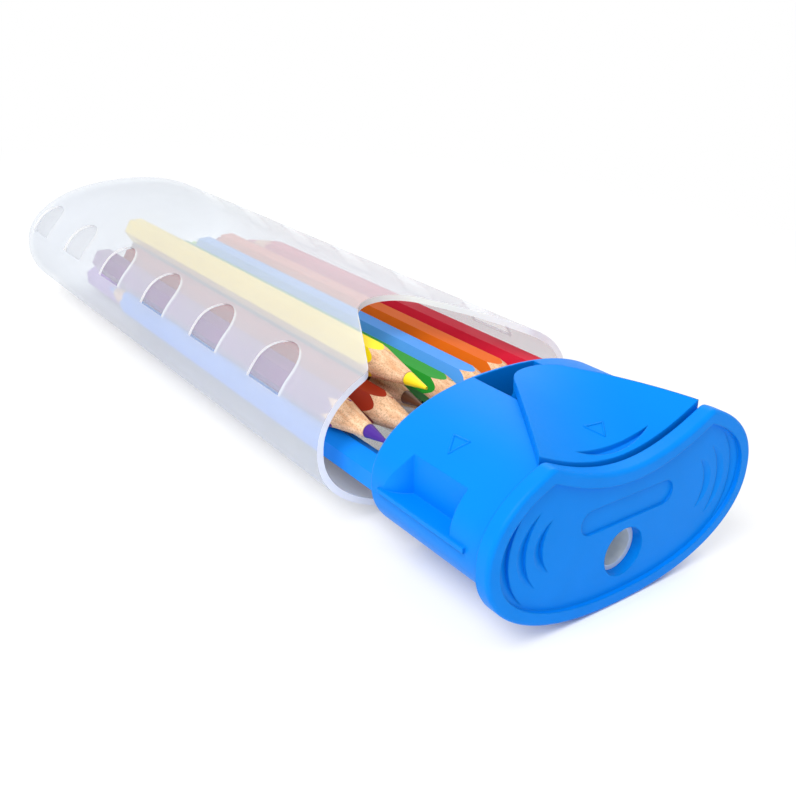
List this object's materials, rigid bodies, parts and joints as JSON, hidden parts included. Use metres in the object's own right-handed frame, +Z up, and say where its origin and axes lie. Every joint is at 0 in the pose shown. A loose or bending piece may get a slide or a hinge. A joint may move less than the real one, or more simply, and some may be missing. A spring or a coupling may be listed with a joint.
{
  "type": "pencil case",
  "caption": "Oval frosted pencil case with a pull-out cap that holds a wedge sharpener under a hinged shavings lid, and a set of hexagonal colour pencils.",
  "frame": {"origin": "centre of the footprint on the table, under the middle of the length with the cap pulled out", "axes": "+X along the case toward the cap and the pencil points, +Z up, case resting on Z = 0"},
  "size_m": [0.2664, 0.075, 0.0411],
  "materials": {
    "frosted": "frosted, translucent",
    "blue_plastic": "semi-gloss, moulded",
    "steel": "bright",
    "alloy": "satin, cast",
    "painted_red": "gloss paint on wood, bare wood at the cone",
    "lead_red": "waxy coloured core",
    "painted_orange": "gloss paint on wood, bare wood at the cone",
    "lead_orange": "waxy coloured core",
    "painted_light_blue": "gloss paint on wood, bare wood at the cone",
    "lead_light_blue": "waxy coloured core",
    "painted_green": "gloss paint on wood, bare wood at the cone",
    "lead_green": "waxy coloured core",
    "painted_brown": "gloss paint on wood, bare wood at the cone",
    "lead_brown": "waxy coloured core",
    "painted_rust": "gloss paint on wood, bare wood at the cone",
    "lead_rust": "waxy coloured core",
    "painted_purple": "gloss paint on wood, bare wood at the cone",
    "lead_purple": "waxy coloured core",
    "painted_crimson": "gloss paint on wood, bare wood at the cone",
    "lead_crimson": "waxy coloured core",
    "painted_lime": "gloss paint on wood, bare wood at the cone",
    "lead_lime": "waxy coloured core",
    "painted_black": "gloss paint on wood, bare wood at the cone",
    "lead_black": "waxy coloured core",
    "painted_teal": "gloss paint on wood, bare wood at the cone",
    "lead_teal": "waxy coloured core",
    "painted_grey": "gloss paint on wood, bare wood at the cone",
    "lead_grey": "waxy coloured core",
    "painted_dark_blue": "gloss paint on wood, bare wood at the cone",
    "lead_dark_blue": "waxy coloured core",
    "painted_ochre": "gloss paint on wood, bare wood at the cone",
    "lead_ochre": "waxy coloured core",
    "painted_mint": "gloss paint on wood, bare wood at the cone",
    "lead_mint": "waxy coloured core",
    "painted_pink": "gloss paint on wood, bare wood at the cone",
    "lead_pink": "waxy coloured core",
    "painted_violet": "gloss paint on wood, bare wood at the cone",
    "lead_violet": "waxy coloured core",
    "painted_yellow": "gloss paint on wood, bare wood at the cone",
    "lead_yellow": "waxy coloured core"
  },
  "bodies": {
    "case": {"case_tube": "frosted"},
    "cap": {"cap_body": "blue_plastic", "lid_hinge_pin": "steel", "sharpener_body": "alloy", "sharpener_blade": "steel", "blade_screw": "steel"},
    "lid": {"shavings_lid": "blue_plastic"},
    "pencil_red": {"pencil_red_wood": "painted_red", "pencil_red_lead": "lead_red"},
    "pencil_orange": {"pencil_orange_wood": "painted_orange", "pencil_orange_lead": "lead_orange"},
    "pencil_light_blue": {"pencil_light_blue_wood": "painted_light_blue", "pencil_light_blue_lead": "lead_light_blue"},
    "pencil_green": {"pencil_green_wood": "painted_green", "pencil_green_lead": "lead_green"},
    "pencil_brown": {"pencil_brown_wood": "painted_brown", "pencil_brown_lead": "lead_brown"},
    "pencil_rust": {"pencil_rust_wood": "painted_rust", "pencil_rust_lead": "lead_rust"},
    "pencil_purple": {"pencil_purple_wood": "painted_purple", "pencil_purple_lead": "lead_purple"},
    "pencil_crimson": {"pencil_crimson_wood": "painted_crimson", "pencil_crimson_lead": "lead_crimson"},
    "pencil_lime": {"pencil_lime_wood": "painted_lime", "pencil_lime_lead": "lead_lime"},
    "pencil_black": {"pencil_black_wood": "painted_black", "pencil_black_lead": "lead_black"},
    "pencil_teal": {"pencil_teal_wood": "painted_teal", "pencil_teal_lead": "lead_teal"},
    "pencil_grey": {"pencil_grey_wood": "painted_grey", "pencil_grey_lead": "lead_grey"},
    "pencil_dark_blue": {"pencil_dark_blue_wood": "painted_dark_blue", "pencil_dark_blue_lead": "lead_dark_blue"},
    "pencil_ochre": {"pencil_ochre_wood": "painted_ochre", "pencil_ochre_lead": "lead_ochre"},
    "pencil_mint": {"pencil_mint_wood": "painted_mint", "pencil_mint_lead": "lead_mint"},
    "pencil_pink": {"pencil_pink_wood": "painted_pink", "pencil_pink_lead": "lead_pink"},
    "pencil_violet": {"pencil_violet_wood": "painted_violet", "pencil_violet_lead": "lead_violet"},
    "pencil_yellow": {"pencil_yellow_wood": "painted_yellow", "pencil_yellow_lead": "lead_yellow"}
  },
  "joints": [
    {"name": "cap_slide", "type": "slide", "parent": "case", "child": "cap", "axis": [1, 0, 0], "range_m": [-0.0526, 0]},
    {"name": "lid_hinge", "type": "hinge", "parent": "cap", "child": "lid", "pos_m": [0.1062, 0, 0.03649], "axis": [0, -1, 0], "range_deg": [0, 55]},
    {"name": "pencil_red_slide", "type": "slide", "parent": "case", "child": "pencil_red", "axis": [1, 0, 0], "range_m": [-0.05161, 0]},
    {"name": "pencil_orange_slide", "type": "slide", "parent": "case", "child": "pencil_orange", "axis": [1, 0, 0], "range_m": [-0.05161, 0]},
    {"name": "pencil_light_blue_slide", "type": "slide", "parent": "case", "child": "pencil_light_blue", "axis": [1, 0, 0], "range_m": [-0.05161, 0]},
    {"name": "pencil_green_slide", "type": "slide", "parent": "case", "child": "pencil_green", "axis": [1, 0, 0], "range_m": [-0.05161, 0]},
    {"name": "pencil_brown_slide", "type": "slide", "parent": "case", "child": "pencil_brown", "axis": [1, 0, 0], "range_m": [-0.03761, 0]},
    {"name": "pencil_rust_slide", "type": "slide", "parent": "case", "child": "pencil_rust", "axis": [1, 0, 0], "range_m": [-0.05161, 0]},
    {"name": "pencil_purple_slide", "type": "slide", "parent": "case", "child": "pencil_purple", "axis": [1, 0, 0], "range_m": [-0.04761, 0]},
    {"name": "pencil_crimson_slide", "type": "slide", "parent": "case", "child": "pencil_crimson", "axis": [1, 0, 0], "range_m": [-0.02661, 0]},
    {"name": "pencil_lime_slide", "type": "slide", "parent": "case", "child": "pencil_lime", "axis": [1, 0, 0], "range_m": [-0.02661, 0]},
    {"name": "pencil_black_slide", "type": "slide", "parent": "case", "child": "pencil_black", "axis": [1, 0, 0], "range_m": [-0.02661, 0]},
    {"name": "pencil_teal_slide", "type": "slide", "parent": "case", "child": "pencil_teal", "axis": [1, 0, 0], "range_m": [-0.02661, 0]},
    {"name": "pencil_grey_slide", "type": "slide", "parent": "case", "child": "pencil_grey", "axis": [1, 0, 0], "range_m": [-0.02661, 0]},
    {"name": "pencil_dark_blue_slide", "type": "slide", "parent": "case", "child": "pencil_dark_blue", "axis": [1, 0, 0], "range_m": [-0.05161, 0]},
    {"name": "pencil_ochre_slide", "type": "slide", "parent": "case", "child": "pencil_ochre", "axis": [1, 0, 0], "range_m": [-0.00761, 0]},
    {"name": "pencil_mint_slide", "type": "slide", "parent": "case", "child": "pencil_mint", "axis": [1, 0, 0], "range_m": [-0.00761, 0]},
    {"name": "pencil_pink_slide", "type": "slide", "parent": "case", "child": "pencil_pink", "axis": [1, 0, 0], "range_m": [-0.00761, 0]},
    {"name": "pencil_violet_slide", "type": "slide", "parent": "case", "child": "pencil_violet", "axis": [1, 0, 0], "range_m": [-0.00761, 0]},
    {"name": "pencil_yellow_slide", "type": "slide", "parent": "case", "child": "pencil_yellow", "axis": [1, 0, 0], "range_m": [-0.04331, 0]}
  ],
  "couplings": [
    {"joint": "pencil_red_slide", "follows": "cap_slide", "ratio": 0.98098},
    {"joint": "pencil_orange_slide", "follows": "cap_slide", "ratio": 0.98098},
    {"joint": "pencil_light_blue_slide", "follows": "cap_slide", "ratio": 0.98098},
    {"joint": "pencil_green_slide", "follows": "cap_slide", "ratio": 0.98098},
    {"joint": "pencil_brown_slide", "follows": "cap_slide", "ratio": 0.71482},
    {"joint": "pencil_rust_slide", "follows": "cap_slide", "ratio": 0.98098},
    {"joint": "pencil_purple_slide", "follows": "cap_slide", "ratio": 0.90494},
    {"joint": "pencil_crimson_slide", "follows": "cap_slide", "ratio": 0.5057},
    {"joint": "pencil_lime_slide", "follows": "cap_slide", "ratio": 0.5057},
    {"joint": "pencil_black_slide", "follows": "cap_slide", "ratio": 0.5057},
    {"joint": "pencil_teal_slide", "follows": "cap_slide", "ratio": 0.5057},
    {"joint": "pencil_grey_slide", "follows": "cap_slide", "ratio": 0.5057},
    {"joint": "pencil_dark_blue_slide", "follows": "cap_slide", "ratio": 0.98098},
    {"joint": "pencil_ochre_slide", "follows": "cap_slide", "ratio": 0.14448},
    {"joint": "pencil_mint_slide", "follows": "cap_slide", "ratio": 0.14448},
    {"joint": "pencil_pink_slide", "follows": "cap_slide", "ratio": 0.14448},
    {"joint": "pencil_violet_slide", "follows": "cap_slide", "ratio": 0.14448},
    {"joint": "pencil_yellow_slide", "follows": "cap_slide", "ratio": 0.82319}
  ]
}
